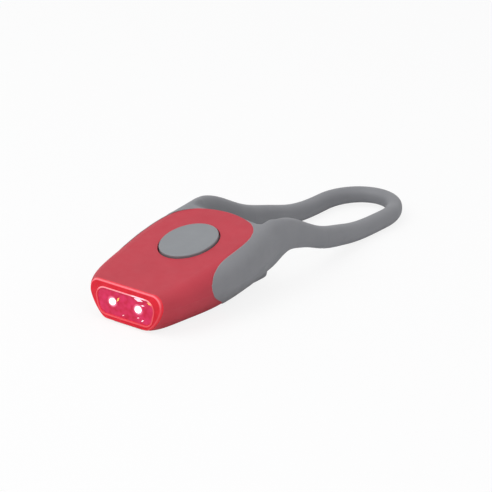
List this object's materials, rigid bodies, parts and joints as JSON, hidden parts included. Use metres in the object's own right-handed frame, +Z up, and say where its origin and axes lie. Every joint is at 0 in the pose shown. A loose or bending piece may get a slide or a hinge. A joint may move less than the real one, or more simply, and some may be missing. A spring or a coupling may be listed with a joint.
{
  "type": "bike safety light",
  "caption": "Wedge-shaped clip-on bicycle safety light: red housing, clear red front lens with lamps, oval push button and a grey silicone jacket with a looped strap.",
  "frame": {"origin": "middle of the length and width, on the surface that the light rests on", "axes": "+Z up, -Y towards the lens, +Y towards the strap's round end, +X to the right when looking along +Y"},
  "size_m": [0.0368, 0.118, 0.0214],
  "materials": {
    "red_soft_touch": "matt soft-touch moulding",
    "red_lens": "clear glossy red",
    "red_reflector": "glossy",
    "lamp_epoxy": "clear",
    "tinned_wire": "tinned",
    "board_laminate": "satin lacquer",
    "black_plastic": "matt",
    "can_aluminium": "satin",
    "grey_button": "matt",
    "cell_steel": "polished",
    "contact_brass": "plated",
    "seal_rubber": "matt",
    "screw_steel": "zinc plated",
    "grey_silicone": "satin silicone"
  },
  "bodies": {
    "housing": {"upper_shell": "red_soft_touch", "base_plate": "red_soft_touch", "lens": "red_lens", "reflector": "red_reflector", "led_left": "lamp_epoxy", "led_right": "lamp_epoxy", "led_leads": "tinned_wire", "circuit_board": "board_laminate", "switch_body": "black_plastic", "controller_chip": "black_plastic", "resistors": "black_plastic", "capacitor": "can_aluminium", "cell_lower": "cell_steel", "cell_upper": "cell_steel", "battery_cradle": "black_plastic", "contact_clip": "contact_brass", "contact_leaf": "contact_brass", "housing_screws": "screw_steel", "board_screws": "screw_steel", "strap_jacket": "grey_silicone", "strap_neck_left": "grey_silicone", "strap_neck_right": "grey_silicone"},
    "button": {"push_button": "grey_button"},
    "plunger": {"switch_plunger": "black_plastic"},
    "cover": {"battery_cover": "red_soft_touch", "cover_seal": "seal_rubber"},
    "strap": {"strap_arm_left": "grey_silicone", "strap_arm_right": "grey_silicone", "strap_bend_left": "grey_silicone", "strap_bend_right": "grey_silicone"},
    "loop": {"strap_loop": "grey_silicone"}
  },
  "joints": [
    {"name": "button_press", "type": "slide", "parent": "housing", "child": "button", "axis": [0, 0.1788, -0.9839], "range_m": [0, 0.0005], "stiffness_N_per_m": 300, "springref_m": -0.001},
    {"name": "plunger_press", "type": "slide", "parent": "housing", "child": "plunger", "axis": [0, 0, -1], "range_m": [0, 0.0005]},
    {"name": "cover_twist", "type": "hinge", "parent": "housing", "child": "cover", "pos_m": [0, -0.038, 0.0011], "axis": [0, 0, 1], "range_deg": [0, 30]},
    {"name": "strap_bend", "type": "hinge", "parent": "housing", "child": "strap", "pos_m": [0, -0.0017, 0.0124], "axis": [1, 0, 0], "range_deg": [-90, 30], "stiffness_Nm_per_rad": 0.03, "deforming": ["strap_neck_left", "strap_neck_right"]},
    {"name": "strap_curl", "type": "hinge", "parent": "strap", "child": "loop", "pos_m": [0, 0.0266, 0.0039], "axis": [1, 0, 0], "range_deg": [-90, 30], "stiffness_Nm_per_rad": 0.02, "deforming": ["strap_bend_left", "strap_bend_right"]}
  ],
  "couplings": [
    {"joint": "plunger_press", "follows": "button_press", "ratio": 0.98389}
  ]
}
